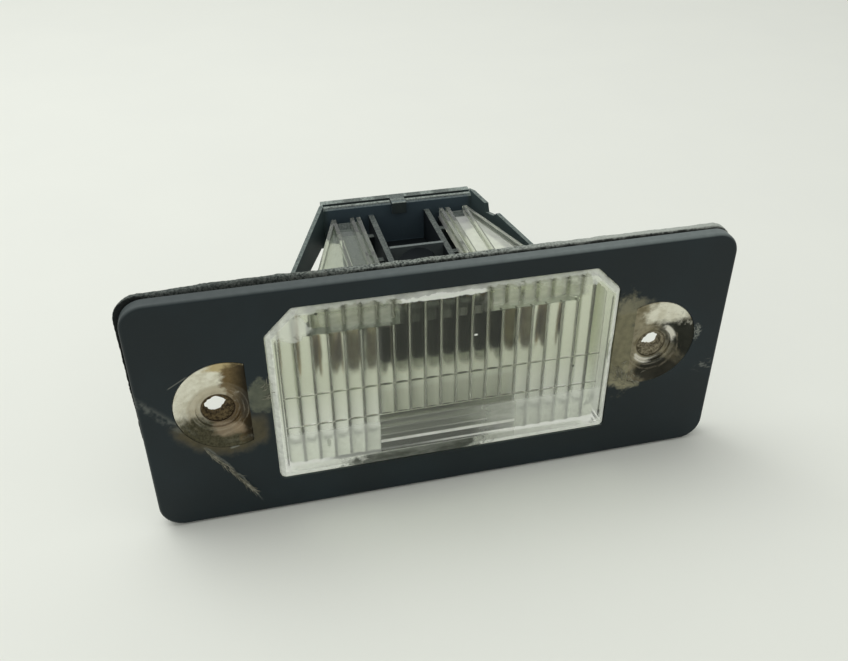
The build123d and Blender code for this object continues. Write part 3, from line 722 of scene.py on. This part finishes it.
def housing_finish(name, face, worn, dust_and_highlight_weight):
    """Black plastic with moulding grain; dust and painted highlight lie on level faces above a height, most
    on the rear wall's top edge, and the rear wall, wings and arch's web are painted lighter as painted light.
    """
    finish = Finish(name)
    x, y, z = finish.x, finish.y, finish.z
    cloud = finish.noise(5.0, 3.0)

    # The forms that painted light and dust mark out: the rear wall, the wings, the arch's web and the cover's
    # tab.
    rear_wall = y.near(rear_wall_y, 0.1, 0.3)
    rear_edge = z.rise(13.3, 13.6) * y.near(29.75, 0.25, 0.35)
    wings = (abs(x) + wing_flare * (y - rear_wall_y)).rise(11.6, 12.4) * z.rise(3.0, 4.5)
    arch_web = y.rise(15.7, 15.75) * y.rise(16.5, 16.45) * abs(x).rise(4.3, 4.2) * z.rise(6.6, 6.8)
    tab = x.near(0.0, 1.2, 1.4) * y.rise(28.5, 28.8)
    dust_and_top_light = finish.upward() * finish.noise(0.3, 3.0).rise(0.1, 0.8) * z.rise(dust_and_highlight_above, dust_and_highlight_above + 0.3)
    # Dust with painted highlight on level faces, strongest along the rear wall's top edge, less on the
    # cover's tab.
    settled_dust_and_highlight = (dust_and_highlight_weight + 0.6 * rear_edge + 0.2 * wings) * (1.0 - 0.55 * tab) * dust_and_top_light
    pits = x.near(-7.4, 1.2, 1.8)
    for centre, full, none in ((-2.6, 0.9, 1.4), (3.0, 1.0, 1.5), (7.8, 1.1, 1.7)):
        pits = pits.either(x.near(centre, full, none))
    pits = pits * y.rise(30.4, 30.6) * finish.upward() * cloud.rise(0.2, 0.5)

    colour = finish.mix(cloud, face, worn)
    # The rear wall's inner face, the wings and the arch's web are painted lighter: painted light on faces
    # that stand in shade.
    colour = finish.mix(rear_wall, colour, tone(62, 76, 84))
    colour = finish.mix(wings, colour, tone(58, 71, 72))
    colour = finish.mix(arch_web, colour, tone(76, 83, 85))
    colour = finish.mix(settled_dust_and_highlight, colour, tone(160, 171, 163))
    colour = finish.mix(0.6 * pits, colour, tone(56, 63, 60))
    return finish.done(finish.shader(
        Base_Color=colour,
        Roughness=0.45 + 0.2 * cloud,
        Specular_IOR_Level=0.2,
        Normal=finish.bump(finish.noise(0.2, 2.0), 0.01),
    ))


paint(["bulb_carrier"], housing_finish("black_carrier", tone(17, 22, 25), tone(24, 30, 33), dust_and_highlight_weight=0.35))
paint(["rear_cover"], housing_finish("black_cover", tone(46, 54, 55), tone(58, 66, 66), dust_and_highlight_weight=0.8))

# The stage: a plain pale floor under the plate's lower edge, a soft key light and an even sky.
# The camera stands where the photograph was taken from.

floor_level = min(cad_bounds[0][2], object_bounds()[0][2])
floor_reach = 1.5
floor_corners = [(-1, -1), (1, -1), (1, 1), (-1, 1)]
floor_places = [(across * floor_reach, along * floor_reach, floor_level) for across, along in floor_corners]
floor_mesh = bpy.data.meshes.new("floor")
floor_mesh.from_pydata(floor_places, [], [(0, 1, 2, 3)])
floor = bpy.data.objects.new("floor", floor_mesh)
bpy.context.scene.collection.objects.link(floor)
floor_finish = Finish("pale_floor")
floor_cloud = floor_finish.noise(35.0, 3.0)
floor_mesh.materials.append(floor_finish.done(floor_finish.shader(
    Base_Color=floor_finish.mix(floor_cloud, tone(226, 229, 221), tone(222, 225, 218)), Roughness=0.9
)))


def area_light(name, place, target, size, power):
    """A square soft light that faces a point."""
    lamp = bpy.data.lights.new(name, "AREA")
    lamp.size = size
    lamp.energy = power
    light = bpy.data.objects.new(name, lamp)
    aim = (Vector(target) - Vector(place)).to_track_quat("-Z", "Y")
    light.matrix_world = Matrix.Translation(place) @ aim.to_matrix().to_4x4()
    bpy.context.scene.collection.objects.link(light)


area_light("key_light", place=(-0.22, 0.16, 0.55), target=(0, 0, 0), size=0.45, power=1.9)

sky = bpy.data.worlds.new("even_sky")
sky.use_nodes = True
background = sky.node_tree.nodes["Background"]
background.inputs["Color"].default_value = (1.0, 1.0, 0.98, 1.0)
background.inputs["Strength"].default_value = 0.68
bpy.context.scene.world = sky

camera_data = bpy.data.cameras.new("camera")
camera_data.sensor_fit = "HORIZONTAL"
camera_data.sensor_width = 36.0
camera_data.lens = 37.30
camera_data.clip_start = 0.01
camera = bpy.data.objects.new("camera", camera_data)
camera_place = (-0.02763, -0.10145, 0.07578)
camera_right = (0.9708, -0.2398, -0.0032)
camera_down = (-0.1344, -0.5328, -0.8355)
camera_forward = (0.1986, 0.8116, -0.5494)
camera_axes = Matrix([camera_right, -Vector(camera_down), -Vector(camera_forward)]).transposed()
camera.matrix_world = Matrix.Translation(camera_place) @ camera_axes.to_4x4()
bpy.context.scene.collection.objects.link(camera)
bpy.context.scene.camera = camera
bpy.context.scene.view_settings.view_transform = "Standard"
